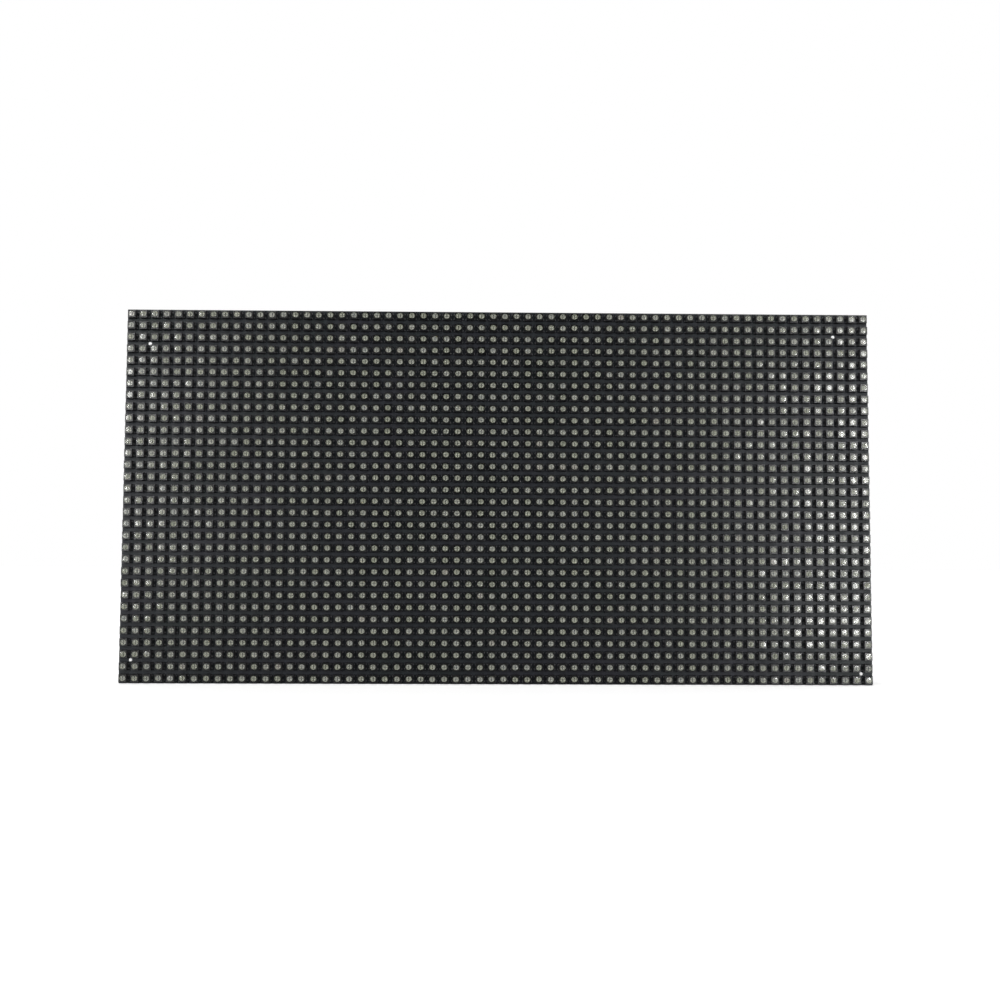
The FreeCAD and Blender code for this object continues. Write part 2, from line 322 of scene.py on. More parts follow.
# %% Soft boxes
def soft_box(name, place, aim, width, height, radiance):
    """A rectangular lamp that faces a point. Its brightness is the level that a mirror would show."""
    light = bpy.data.lights.new(name, "AREA")
    light.shape = "RECTANGLE"
    light.size = width
    light.size_y = height
    light.energy = radiance * math.pi * width * height
    lamp = bpy.data.objects.new(name, light)
    lamp.location = place
    lamp.rotation_mode = "QUATERNION"
    lamp.rotation_quaternion = (Vector(aim) - Vector(place)).to_track_quat("-Z", "Y")
    lamp.visible_camera = False
    bpy.context.scene.collection.objects.link(lamp)


centre = (0, 0, 0.048)
low_corner = (0.085, -0.007, 0.014)
soft_box("top_box", (0.0, -0.42, 0.75), centre, 0.7, 0.45, 3.0)
soft_box("right_box", (0.298, -0.52, 0.100), centre, 0.043, 0.20, 35.0)
soft_box("low_right_box", (0.136, -0.15, 0.007), low_corner, 0.026, 0.013, 29.0)
soft_box("left_box", (-0.325, -0.52, 0.13), centre, 0.042, 0.26, 26.0)
soft_box("left_wall", (-0.46, -0.42, 0.15), centre, 0.35, 0.4, 1.6)
soft_box("rear_box", (-0.45, 0.7, 0.6), centre, 0.6, 0.6, 2.2)
soft_box("rear_side_box", (0.7, 0.35, 0.3), centre, 0.4, 0.5, 1.2)

# %% White room
def white_room():
    """A room that lights the panel softly, and that looks pure white directly, mirrored or through glass."""
    world = bpy.data.worlds.new("white_room")
    bpy.context.scene.world = world
    world.use_nodes = True
    tree = world.node_tree
    soft = tree.nodes["Background"]
    fill(soft, {"Color": (1, 1, 1, 1), "Strength": 0.34})
    seen = add_node(tree, "Background", {"Color": (1, 1, 1, 1), "Strength": 1.0})
    sight = add_node(tree, "LightPath").outputs
    clear = sight["Is Camera Ray"]
    for ray in ("Is Glossy Ray", "Is Transmission Ray"):
        either = add_node(tree, "Math", operation="MAXIMUM")
        wire(tree, clear, either, 0)
        wire(tree, sight[ray], either, 1)
        clear = either.outputs["Value"]
    choice = mix_shaders(tree, clear, soft.outputs["Background"], seen.outputs["Background"])
    wire(tree, choice, tree.nodes["World Output"], "Surface")


white_room()
bpy.context.scene.view_settings.view_transform = "Standard"
print("view transform:", bpy.context.scene.view_settings.view_transform)

# %% [markdown]
# ## Black solder mask
# The board is covered with black lacquer over copper tracks. Under soft light it looks dark grey with a
# faint blue or green cast where the lacquer is thinner over the copper. The tracks run upright and level
# between the lamps, so a soft brick pattern, half as wide as the lamp spacing, lies under the stain. The
# board is cut out of its sheet, so its edges show the bare brown laminate.

# %% Solder mask
def solder_mask():
    tree, shader = start_material("black_solder_mask")
    place = own_place(tree)
    tints = [(0.0124, 0.0168, 0.0176), (0.0145, 0.0173, 0.0212), (0.0174, 0.0178, 0.0242)]
    base = blend_colours(tree, noise(tree, place, 55.0, detail=2.0), tints)
    tracks = add_node(tree, "TexBrick", {"Scale": 330.0})
    shades = {"Color1": 0.30, "Color2": 0.55, "Mortar": 0.42}
    fill(tracks, {entry: (shade, shade, shade, 1) for entry, shade in shades.items()})
    wire(tree, mapped(tree, place, {"Rotation": (math.pi / 2, 0, 0)}), tracks, "Vector")
    lacquer = mix_colours(tree, 0.35, base, tracks.outputs["Color"], "OVERLAY")
    layers = noise(tree, place, 900.0, detail=3.0)
    laminate = blend_colours(tree, layers, [(0.045, 0.04, 0.022), (0.085, 0.075, 0.045)])
    normal = add_node(tree, "SeparateXYZ")
    wire(tree, add_node(tree, "TexCoord").outputs["Normal"], normal, "Vector")
    facing = add_node(tree, "Math", operation="ABSOLUTE")
    wire(tree, normal.outputs["Y"], facing, 0)
    on_skin = stretch(tree, facing.outputs["Value"], 0, 1, 0.4, 0.6)
    wire(tree, mix_colours(tree, on_skin, laminate, lacquer), shader, "Base Color")
    wire(tree, stretch(tree, noise(tree, place, 400.0), 0.38, 0.52), shader, "Roughness")
    relief(tree, shader, noise(tree, place, 2600.0), 0.6, 3e-5)
    shader.inputs["Specular IOR Level"].default_value = 0.22


def dress(node, look):
    """Puts a finish on a solid of the model."""
    mesh = solids[node].data
    mesh.materials.clear()
    mesh.materials.append(looks[look])


solder_mask()
dress("circuit_board", "black_solder_mask")

# %% [markdown]
# ## Black lamp body
# The lamp body is black moulded plastic with a matt face. A few bodies are a little glossier or dustier
# than their neighbours, which is what makes a real panel look lively from the side. The grid number of each
# lamp, found by rounding its place down to the lamp spacing, gives each one its own shade.

# %% Random value for each lamp
def lamp_number(tree, place):
    """A random value that is the same all over one lamp."""
    per_metre = 1 / (pixel_pitch * mm)
    steps = [
        add_node(tree, "VectorMath", {1: (0, 0, -middle * mm)}, operation="ADD"),
        add_node(tree, "VectorMath", {1: (per_metre, 0, per_metre)}, operation="MULTIPLY"),
        add_node(tree, "VectorMath", operation="FLOOR"),
    ]
    for step in steps:
        wire(tree, place, step, 0)
        place = step.outputs["Vector"]
    chance = add_node(tree, "TexWhiteNoise", noise_dimensions="3D")
    wire(tree, place, chance, "Vector")
    return chance.outputs["Value"]


def lamp_body():
    tree, shader = start_material("black_lamp_body")
    place = own_place(tree)
    chance = lamp_number(tree, place)
    shades = [(0.0018, 0.0018, 0.0022), (0.003, 0.003, 0.0035), (0.0055, 0.0055, 0.0055)]
    wire(tree, blend_colours(tree, chance, shades, [0, 0.5, 1]), shader, "Base Color")
    wire(tree, stretch(tree, chance, 0.24, 0.34, 0, 1), shader, "Roughness")
    relief(tree, shader, noise(tree, place, 5200.0), 0.7, 3e-5)
    shader.inputs["Specular IOR Level"].default_value = 0.38


lamp_body()

# %% [markdown]
# ## Inside the cup
# Each cup has a pale reflecting wall, four silver plates on a dark floor, three tiny light chips over the
# gap between the plates, and gold wires. Clear resin with a little milk fills the cup. The wall could be
# painted on the resin, but real depth under a see-through skin gives the rings and strokes that show when
# the panel is seen at an angle.

# %% Cup finishes
for row in [
    # The body's side walls are the same black plastic as its face. Their lighter colour is a painted sheen
    # for their glancing reflections.
    ("lamp_wall_painted_sheen", (0.010, 0.010, 0.011), (0.018, 0.018, 0.019), 700, (0.3, 0.45), 4200, 3e-5),
    ("pale_cup_wall", (0.33, 0.35, 0.28), (0.44, 0.46, 0.38), 700, (0.3, 0.5), 6000, 1e-5),
    ("dark_cup_floor", (0.015, 0.015, 0.015), (0.03, 0.03, 0.028), 900, (0.4, 0.6), 6000, 1e-5),
    ("silver_cup_plate", (0.61, 0.63, 0.54), (0.79, 0.80, 0.70), 800, (0.4, 0.6), 5000, 1e-5, 0.0, 0.3),
    ("light_chip", (0.008, 0.008, 0.007), (0.02, 0.017, 0.015), 2500, (0.15, 0.3), 6000, 5e-6),
    ("gold_wire", (0.65, 0.42, 0.14), (0.8, 0.55, 0.2), 900, (0.2, 0.35), 6000, 5e-6, 1.0),
    ("tinned_lead", (0.10, 0.10, 0.105), (0.22, 0.22, 0.225), 900, (0.35, 0.55), 3500, 3e-5, 0.8),
]:
    finish(*row)


def milky_resin():
    """Clear resin with some milk in it, each lamp with its own tint and gloss."""
    tree, shader = start_material("milky_resin")
    place = own_place(tree)
    chance = lamp_number(tree, place)
    tints = [
        (0.17, 0.185, 0.135), (0.21, 0.22, 0.175), (0.20, 0.21, 0.185),
        (0.23, 0.235, 0.225), (0.20, 0.21, 0.22), (0.23, 0.205, 0.195),
    ]
    tint = blend_colours(tree, chance, tints, [0.0, 0.3, 0.5, 0.8, 0.97, 0.99])
    cloud = blend_colours(tree, noise(tree, place, 1500.0, detail=2.0), [(0.7, 0.7, 0.7), (1, 1, 1)])
    wire(tree, mix_colours(tree, 0.5, tint, cloud, "MULTIPLY"), shader, "Base Color")
    wire(tree, stretch(tree, chance, 0.105, 0.15, 0, 1), shader, "Roughness")
    relief(tree, shader, noise(tree, place, 900.0, detail=1.0), 0.012, 3e-5)
    fill(shader, {"Specular IOR Level": 1.0, "Alpha": 0.21})


milky_resin()

# %% [markdown]
# ## Shapes
# Small parts that repeat are drawn once, as a pattern, and then stamped at every place with a slight turn.
# A pattern could be 2048 linked objects, but one mesh for half the field loads and exports much faster.
# A pattern is built from rings of points joined by strips, which gives full control of each wall and bevel.
# It is a list of points, a list of faces and a list that says which finish each face has.

# %% Skins through rings
def ring_skin(rings, finish_of_strip=None):
    """Closed skin through rings with the same number of points. First and last ring get a lid."""
    count = len(rings[0])
    points = np.concatenate([np.asarray(ring, float) for ring in rings])
    faces = [tuple(range(count))]
    kinds = [0]
    for level in range(len(rings) - 1):
        for n in range(count):
            a = level * count + n
            b = level * count + (n + 1) % count
            faces.append((a, b, b + count, a + count))
            kinds.append(finish_of_strip[level] if finish_of_strip else 0)
    last = (len(rings) - 1) * count
    faces.append(tuple(range(last, last + count)))
    kinds.append(finish_of_strip[-1] if finish_of_strip else 0)
    return points, faces, kinds


def outward(pattern):
    """The same pattern with all faces turned outwards."""
    points, faces, kinds = pattern
    mesh = bmesh.new()
    corners = [mesh.verts.new(point) for point in points]
    made = [mesh.faces.new([corners[n] for n in face]) for face in faces]
    for face, kind in zip(made, kinds):
        face.material_index = kind
    bmesh.ops.recalc_face_normals(mesh, faces=mesh.faces)
    mesh.verts.index_update()
    turned = [tuple(v.index for v in face.verts) for face in mesh.faces]
    turned_kinds = [face.material_index for face in mesh.faces]
    mesh.free()
    return points, turned, turned_kinds


def shell(rings, kind=0):
    """Closed skin through rings, turned outwards and all of one finish."""
    points, faces, kinds = outward(ring_skin(rings))
    return points, faces, [kind] * len(kinds)


# %% Slabs, bars and boxes
def slab(outline, low, high, kind=0):
    """A flat shape between two levels, from an outline of (x, z) points."""
    return shell([[(x, level, z) for x, z in outline] for level in (low, high)], kind)


def pulled(profile, x_low, x_high, kind=0):
    """A side view of (z, level) points, pulled along X."""
    return shell([[(x, level, z) for z, level in profile] for x in (x_low, x_high)], kind)


def box(x_low, x_high, y_low, y_high, z_low, z_high, kind=0):
    """A small closed box."""
    corners = [(x, y, z) for x in (x_low, x_high) for y in (y_low, y_high) for z in (z_low, z_high)]
    faces = [(0, 1, 3, 2), (4, 6, 7, 5), (0, 4, 5, 1), (2, 3, 7, 6), (0, 2, 6, 4), (1, 5, 7, 3)]
    return np.array(corners, float), faces, [kind] * len(faces)


# %% Move, join and repeat patterns
def moved(pattern, x=0.0, y=0.0, z=0.0):
    points, faces, kinds = pattern
    return points + np.array([x, y, z]), faces, kinds


def turned_half(pattern):
    """The pattern turned half way round the depth axis."""
    points, faces, kinds = pattern
    return points * np.array([-1, 1, -1]), faces, kinds


def quarter(pattern):
    """Turned so that what ran along X runs along Z."""
    points, faces, kinds = pattern
    return np.stack([points[:, 2], points[:, 1], -points[:, 0]], 1), faces, kinds


def together(patterns):
    """Several patterns as one."""
    points, faces, kinds, start = [], [], [], 0
    for some_points, some_faces, some_kinds in patterns:
        points.append(some_points)
        faces += [tuple(n + start for n in face) for face in some_faces]
        kinds += some_kinds
        start += len(some_points)
    return np.concatenate(points), faces, kinds


def stamp(pattern, places, turns=None):
    """The pattern at every place. Each turn is a 3 by 3 matrix about the pattern's own origin."""
    points, faces, kinds = pattern
    places = np.asarray(places, float)
    copies = points[None, :, :] if turns is None else np.einsum("nij,kj->nki", turns, points)
    copies = places[:, None, :] + copies
    count = len(points)
    all_faces = [tuple(i + n * count for i in face) for n in range(len(places)) for face in faces]
    return copies.reshape(-1, 3), all_faces, kinds * len(places)


# %% Make a piece of a pattern
def make_piece(name, pattern, finishes, stands_for=(), crease=35.0):
    """A mesh piece in metres that rides with the panel."""
    points, faces, kinds = pattern
    mesh = bpy.data.meshes.new(name)
    mesh.from_pydata((np.asarray(points) * mm).tolist(), [], faces)
    for look in finishes:
        mesh.materials.append(looks[look])
    mesh.polygons.foreach_set("material_index", kinds)
    mesh.shade_smooth()
    mesh.set_sharp_from_angle(angle=math.radians(crease))
    piece = bpy.data.objects.new(name, mesh)
    bpy.context.scene.collection.objects.link(piece)
    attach(piece, "root")
    if stands_for:
        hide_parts(*stands_for)
    print(name, "has", sum(len(face) - 2 for face in faces), "triangles")


# %% [markdown]
# ## The lamps
# A lamp of this panel is a 2.1 mm square body, 1.5 mm tall, whose walls lean in a little so that it leaves
# its mould. Its round cup opens at the front. Sixteen points go round each ring: the square rings have a
# point at each corner, and the same points drawn in to a circle make the cup, so the face between needs no
# extra cuts.

# %% Lamp body
ring_points = 16
angles = np.arange(ring_points) * 2 * math.pi / ring_points
across = np.cos(angles)
up = np.sin(angles)
square_reach = 1 / np.maximum(np.abs(across), np.abs(up))

base_half = 1.05
top_half = 0.985
face_half = 0.945
bevel_drop = 0.045
seat_drop = 0.03
cup_radius = 0.74
cup_flatness = 0.92
cup_floor_radius = 0.60
cup_depth = 0.42
face_level = lamp_height - seat_drop
floor_level = face_level - cup_depth


def square_ring(half, height):
    level = np.full(ring_points, -height)
    return np.stack([half * across * square_reach, level, half * up * square_reach], 1)


def round_ring(radius, height):
    return np.stack([radius * across, np.full(ring_points, -height), radius * cup_flatness * up], 1)


def cut_lid(pattern, corner):
    """The first lid cut into triangles, none of which lies along a straight side of the square."""
    points, faces, kinds = pattern
    lid = faces[0]
    order = [lid[(corner + (n + 1) // 2 * (-1) ** n) % len(lid)] for n in range(len(lid))]
    triangles = [tuple(order[n:n + 3]) for n in range(len(order) - 2)]
    return points, triangles + faces[1:], [kinds[0]] * len(triangles) + kinds[1:]


lamp_rings = [
    square_ring(base_half, 0.0),
    square_ring(top_half, face_level - bevel_drop),
    square_ring(face_half, face_level),
    round_ring(cup_radius, face_level),
    round_ring(cup_floor_radius, floor_level),
]
# The side walls take the lighter finish, a painted sheen on the black plastic.
body_kind, cup_wall_kind, cup_floor_kind, sheen_wall_kind = range(4)
lamp_strips = [sheen_wall_kind, body_kind, body_kind, cup_wall_kind, cup_floor_kind]
lamp_pattern = outward(cut_lid(ring_skin(lamp_rings, lamp_strips), 2))
print("faces of one lamp body:", len(lamp_pattern[1]))

# %% [markdown]
# Lamps are placed by machine but float a little while the solder is liquid. A small seeded tilt, turn and
# shift for each lamp keeps the grid from looking drawn, and makes the glints scatter as they do in the
# photograph.

# %% Lamp places and tilts
chance = np.random.default_rng(64032)
grid_x = (np.arange(columns) - (columns - 1) / 2) * pixel_pitch
grid_z = middle + ((rows - 1) / 2 - np.arange(rows)) * pixel_pitch
lamp_places = np.array([(x, front_skin, z) for z in grid_z for x in grid_x])
lamp_count = len(lamp_places)
shift_spread = 0.025
lamp_places[:, 0] += chance.normal(0, shift_spread, lamp_count)
lamp_places[:, 2] += chance.normal(0, shift_spread, lamp_count)
tilt_spread = math.radians(0.45)
turn_spread = math.radians(0.9)
most_tilt = 2 * tilt_spread
lean = chance.normal(0, tilt_spread, (lamp_count, 2)).clip(-most_tilt, most_tilt)
spin = chance.normal(0, turn_spread, lamp_count)


def small_turns(lean, spin):
    """Turn matrices for small angles: lean about X and Z, spin about the lamp's own axis."""
    turns = np.tile(np.eye(3), (len(spin), 1, 1))
    turns[:, 1, 2] = -lean[:, 0]
    turns[:, 2, 1] = lean[:, 0]
    turns[:, 0, 1] = -lean[:, 1]
    turns[:, 1, 0] = lean[:, 1]
    turns[:, 0, 2] = spin
    turns[:, 2, 0] = -spin
    return turns


lamp_turns = small_turns(lean, spin)
half = lamp_count // 2
halves = {"upper": slice(0, half), "lower": slice(half, lamp_count)}
print("lamps:", lamp_count)

# %% Stamp the bodies
body_looks = ["black_lamp_body", "pale_cup_wall", "dark_cup_floor", "lamp_wall_painted_sheen"]
for side, part in halves.items():
    bodies = stamp(lamp_pattern, lamp_places[part], lamp_turns[part])
    make_piece(f"led_bodies_{side}", bodies, body_looks, [f"led_rows_{side}"], crease=40)

# %% [markdown]
# On the floor of the cup lie the four plates of the lead frame, one for each lead, with a dark cross between
# them. The three light chips stand in a column over the upright gap, and gold wires jump from them to the
# plates. At the size of the photograph this makes the dark upright stroke in each cup and the fainter level
# one.

# %% Cup inside
plate_thickness = 0.03
plate_gap = 0.15
plate_level = floor_level + plate_thickness
chip_height = 0.11
chip_top = plate_level + chip_height
chip_half_width = 0.12
chip_half_length = 0.13
outer_chip = 0.32
wire_half = 0.018
plate_outline = [(0.06, plate_gap / 2), (0.58, plate_gap / 2), (0.43, 0.41), (0.06, 0.58)]
wire_path = [(0.05, chip_top), (0.22, chip_top + 0.09), (0.49, plate_level)]
plate_kind, chip_kind, wire_kind = range(3)
inside_looks = ["silver_cup_plate", "light_chip", "gold_wire"]


def quarter_plate(side, above):
    """One plate, its outer corner cut to follow the round floor."""
    outline = [(side * x, above * z * cup_flatness) for x, z in plate_outline]
    return slab(outline, -floor_level, -plate_level, plate_kind)


def light_chip(z):
    low, high = z - chip_half_length, z + chip_half_length
    return box(-chip_half_width, chip_half_width, -chip_top, -floor_level, low, high, chip_kind)


def gold_wire(z, side):
    """A thin three-sided wire in an arch from a chip to a side plate."""
    r = wire_half
    rings = []
    for out, height in wire_path:
        x = side * out
        rings.append([(x, -height - r, z), (x, -height + r, z - r), (x, -height + r, z + r)])
    return shell(rings, wire_kind)


plates = [quarter_plate(side, above) for side in (-1, 1) for above in (-1, 1)]
chips = [light_chip(z) for z in (-outer_chip, 0.0, outer_chip)]
wires = [gold_wire(side * outer_chip, side) for side in (-1, 1)]
inside_pattern = together(plates + chips + wires)
for side, part in halves.items():
    insides = stamp(inside_pattern, lamp_places[part], lamp_turns[part])
    make_piece(f"led_inside_{side}", insides, inside_looks, crease=30)

# %% [markdown]
# The resin sets with a slightly domed skin, and no two domes are quite alike. The dome is a shallow cap with
# one inner ring and a middle point, so its slope grows evenly towards the rim. Each dome leans a little more
# than its body does, and that decides which lamps show a bright half moon.

# %% Resin
dome_rise = 0.026
dome_rim = face_level - 0.03
resin_floor = face_level - 0.14
rim_radius = cup_radius - 0.003
foot_radius = cup_radius - 0.05
inner_share = 0.5
resin_spread = math.radians(1.2)
most_resin_tilt = 0.045


def resin_dome():
    rings = [
        round_ring(foot_radius, resin_floor),
        round_ring(rim_radius, dome_rim),
        round_ring(rim_radius * inner_share, dome_rim + dome_rise * (1 - inner_share ** 2)),
    ]
    points, faces, kinds = ring_skin(rings)
    points = np.concatenate([points, [[0.0, -dome_rim - dome_rise, 0.0]]])
    last = 2 * ring_points
    fan = [(last + n, last + (n + 1) % ring_points, last + ring_points) for n in range(ring_points)]
    return outward((points, faces[:-1] + fan, kinds[:-1] + [0] * ring_points))


resin_tilt = chance.normal(0, resin_spread, (lamp_count, 2)).clip(-most_resin_tilt, most_resin_tilt)
resin_turns = small_turns(lean + resin_tilt, spin)
resin_pivot = np.array([0.0, -face_level, 0.0])
resin_pattern = moved(resin_dome(), *-resin_pivot)
resin_places = lamp_places + np.einsum("nij,j->ni", lamp_turns, resin_pivot)
for side, part in halves.items():
    domes = stamp(resin_pattern, resin_places[part], resin_turns[part])
    make_piece(f"led_resin_{side}", domes, ["milky_resin"], crease=60)

# %% [markdown]
# Four leads, two on the left and two on the right of each lamp, fold down to the board and end in a small
# slope of solder. Lead and solder are one tinned surface, so one drawn profile, pulled to the width of the
# lead, makes both.

# %% Leads and solder
lead_rise = 0.57
lead_width = 0.36
lead_profile = [(0.99, 0.52), (1.06, 0.52), (1.10, 0.17), (1.30, 0.01), (0.99, 0.0)]


def lead(side, z):
    edges = (z - lead_width / 2, z + lead_width / 2)
    return shell([[(side * x, -height, edge) for x, height in lead_profile] for edge in edges])


lead_pattern = together([lead(side, z) for side in (-1, 1) for z in (-lead_rise, lead_rise)])
for side, part in halves.items():
    leads = stamp(lead_pattern, lamp_places[part], lamp_turns[part])
    make_piece(f"led_leads_{side}", leads, ["tinned_lead"], crease=25)

# %% [markdown]
# ## Alignment dots
# Four bare tinned dots on the front tell the placing machine where the board lies. They are thin round pads.
# A flat disc would look printed, so each pad is a shallow cushion of tin.

# %% Tinned dots
def circle(radius, level, count):
    """A round ring of points. The radius may differ from point to point."""
    turn = np.arange(count) * 2 * math.pi / count
    return np.stack([radius * np.cos(turn), np.full(count, level), radius * np.sin(turn)], 1)


# The tin is coloured nearly white. This is a painted glint in place of its bright reflection.
finish("white_tin_painted_glint", (0.90, 0.90, 0.90), (0.96, 0.96, 0.95), 600, (0.35, 0.55), 3000, 2e-5)
dot_radius = 0.42
dot_sides = 24
dot_steps = [(1.0, 0.0), (1.0, 0.03), (0.8, 0.07), (0.3, 0.085)]
dot_pattern = shell([circle(dot_radius * share, -rise, dot_sides) for share, rise in dot_steps])
dot_grid = [(2, 3), (61, 2), (1, 30), (63, 31)]
dot_places = [
    ((right - columns / 2) * pixel_pitch, front_skin, middle + (rows / 2 - down) * pixel_pitch)
    for right, down in dot_grid
]
make_piece("alignment_dots", stamp(dot_pattern, dot_places), ["white_tin_painted_glint"])

# %% [markdown]
# ## The moulded frame
# The tray behind the board is black plastic with glass fibre. Its mould is spark eroded, which leaves a fine
# even leather on the outside faces, and the fibres bring slightly paler streaks to the surface. Its shape is
# right in the model, so the solid stays and only takes this finish.

# %% Frame finish
def spark_plastic():
    tree, shader = start_material("spark_eroded_plastic")
    place = own_place(tree)
    flow = mapped(tree, place, {"Scale": (1.0, 1.0, 0.35)})
    streaks = noise(tree, flow, 260.0, detail=6.0, roughness=0.7)
    tints = [(0.011, 0.011, 0.012), (0.017, 0.017, 0.018), (0.026, 0.026, 0.027)]
    wire(tree, blend_colours(tree, streaks, tints), shader, "Base Color")
    wire(tree, stretch(tree, noise(tree, place, 45.0), 0.50, 0.68), shader, "Roughness")
    craters = add_node(tree, "TexVoronoi", {"Scale": 2600.0})
    wire(tree, place, craters, "Vector")
    relief(tree, shader, craters.outputs["Distance"], 0.35, 8e-5)
    shader.inputs["Specular IOR Level"].default_value = 0.4


spark_plastic()
dress("rear_frame", "spark_eroded_plastic")

# %% [markdown]
# ## Metals and plastics of the back
# Each kind of part has its own finish. Moulded chip bodies are matt and slightly brown, header plastic is
# smoother, gilded posts keep a warm colour, and solder is bright but never mirror flat.

# %% Finishes of the back
for row in [
    ("chip_plastic", (0.014, 0.014, 0.014), (0.024, 0.023, 0.022), 500, (0.45, 0.62), 4200, 4e-5),
    ("chip_mark", (0.10, 0.10, 0.10), (0.16, 0.16, 0.155), 900, (0.5, 0.7), 5000, 2e-5),
    ("header_plastic", (0.012, 0.012, 0.013), (0.020, 0.020, 0.021), 240, (0.30, 0.45), 2400, 4e-5),
    ("power_plastic", (0.62, 0.60, 0.54), (0.72, 0.70, 0.64), 220, (0.38, 0.52), 2200, 4e-5),
    ("gilded_post", (0.72, 0.52, 0.22), (0.88, 0.68, 0.34), 500, (0.3, 0.42), 3000, 4e-6, 0.9),
    ("solder", (0.46, 0.46, 0.47), (0.66, 0.66, 0.67), 700, (0.16, 0.36), 1500, 6e-5, 1.0),
    ("knurled_brass", (0.50, 0.36, 0.13), (0.70, 0.53, 0.24), 420, (0.24, 0.42), 2600, 3e-5, 1.0),
    ("zinc_screw", (0.34, 0.34, 0.36), (0.52, 0.52, 0.55), 380, (0.24, 0.42), 2600, 3e-5, 1.0),
    ("tinned_nut", (0.48, 0.48, 0.48), (0.64, 0.64, 0.65), 380, (0.24, 0.4), 2200, 3e-5, 1.0),
    ("brown_ceramic", (0.22, 0.14, 0.075), (0.31, 0.21, 0.12), 900, (0.35, 0.5), 3600, 3e-5),
    ("black_glaze", (0.012, 0.012, 0.013), (0.022, 0.022, 0.024), 900, (0.2, 0.36), 3600, 2e-5),
    ("white_substrate", (0.62, 0.62, 0.60), (0.74, 0.74, 0.72), 900, (0.45, 0.6), 3600, 2e-5),
    ("white_ink", (0.60, 0.60, 0.58), (0.72, 0.72, 0.70), 700, (0.5, 0.7), 3600, 2e-5),
    ("lacquered_track", (0.024, 0.026, 0.028), (0.034, 0.036, 0.038), 160, (0.34, 0.48), 2600, 3e-5),
    ("capacitor_foot", (0.010, 0.010, 0.011), (0.018, 0.018, 0.019), 300, (0.4, 0.55), 2600, 4e-5),
]:
    finish(*row)

for node, look in {
    "frame_screws": "zinc_screw",
    "board_nuts": "tinned_nut",
    "data_in_housing": "header_plastic",
    "data_out_housing": "header_plastic",
    "power_pins": "tinned_nut",
    "power_housing": "power_plastic",
    "capacitor_bases": "capacitor_foot",
}.items():
    dress(node, look)

# %% [markdown]
# ## Chips
# A moulded chip has a slightly wider waist where the two mould halves meet, walls that lean away from it,
# a dimple beside its first lead and a matt top. The body is a stack of rings, and the dimple is a second,
# round stack let into the top. Its gull wing leads start at the waist, step down to the board and end in
# flat feet. A lead could be bent along a curve, but its side view pulled to its width has the flat sides of
# stamped metal.

# %% Chip body and dimple
moulded_kind, mark_kind, wing_kind, foot_kind = range(4)
chip_looks = ["chip_plastic", "chip_mark", "tinned_lead", "solder"]
chip_stand = 0.08
wall_lean = 0.1
top_edge = 0.05
waist_half = 0.03
dimple_radius = 0.32
dimple_inset = 0.75
dimple_sides = 14


def waist_of(height):
    """The level where the two halves of the mould meet."""
    return chip_stand + (height - chip_stand) / 2


def rectangle(half_x, half_z, level, steps=4):
    """A ring with the corners and some points along each edge."""
    t = np.linspace(-1, 1, steps + 1)[:-1]
    x = np.concatenate([t, np.ones(steps), -t, -np.ones(steps)]) * half_x
    z = np.concatenate([-np.ones(steps), t, np.ones(steps), -t]) * half_z
    return np.stack([x, np.full(len(x), level), z], 1)


def chip_body(length, width, height):
    """A moulded body along X, standing a little off the board."""
    waist = waist_of(height)
    stack = [
        (wall_lean, chip_stand), (0.0, waist - waist_half), (0.0, waist + waist_half),
        (wall_lean * 0.9, height - top_edge), (wall_lean + top_edge, height),
    ]
    rings = [rectangle(length / 2 - inset, width / 2 - inset, level) for inset, level in stack]
    return shell(rings, moulded_kind)


def dimple(length, width, height):
    """A small pressed ring that marks the first lead."""
    steps = [(1.0, -0.01), (0.92, 0.008), (0.6, 0.002)]
    rings = [circle(dimple_radius * share, height + rise, dimple_sides) for share, rise in steps]
    return moved(shell(rings, mark_kind), x=dimple_inset - length / 2, z=dimple_inset - width / 2)


# %% Gull wing leads and their solder
wing_thickness = 0.15
sole_level = 0.03
foot_length = 0.6
lead_root = 0.1
hill_before = 0.75
hill_beyond = 0.3
hill_width = 1.5


def gull_wing(width, start, foot_start, reach, waist):
    """One bent lead that runs out along Z."""
    low = waist - wing_thickness / 2
    high = waist + wing_thickness / 2
    top_level = sole_level + wing_thickness
    profile = [
        (start, low), (foot_start - 0.30, low), (foot_start - 0.05, sole_level), (reach, sole_level),
        (reach, top_level), (foot_start + 0.06, top_level), (foot_start - 0.18, high), (start, high),
    ]
    return pulled(profile, -width / 2, width / 2, wing_kind)


def solder_foot(width, near, far, kind=0):
    """A soft slope of solder under and beyond a foot, widest at the board."""
    layers = [
        (0.50, near, 0.0, far, 0.0),
        (0.40, near + 0.08, 0.05, far - 0.12, 0.05),
        (0.26, near + 0.2, 0.12, far - 0.26, 0.10),
    ]
    rings = []
    for share, inner, inner_level, outer, outer_level in layers:
        wide = width * share
        inner_edge = [(-wide, inner_level, inner), (wide, inner_level, inner)]
        outer_edge = [(wide, outer_level, outer), (-wide, outer_level, outer)]
        rings.append(inner_edge + outer_edge)
    return shell(rings, kind)


# %% Whole chips
driver_leads = 12
driver_lead_pitch = 0.635


def centred(count, pitch):
    """Places along a line, at an even pitch, with the middle of the row at zero."""
    return [(n - (count - 1) / 2) * pitch for n in range(count)]


def small_outline_chip(length, width, height, leads, lead_pitch, lead_width, reach):
    """A chip with leads along both long sides, its foot solder and its first lead mark."""
    start = width / 2 - lead_root
    wing = gull_wing(lead_width, start, reach - foot_length, reach, waist_of(height))
    foot = solder_foot(lead_width * hill_width, reach - hill_before, reach + hill_beyond, foot_kind)
    row = together([moved(part, x) for x in centred(leads, lead_pitch) for part in (wing, foot)])
    return together([chip_body(length, width, height), dimple(length, width, height), row, turned_half(row)])


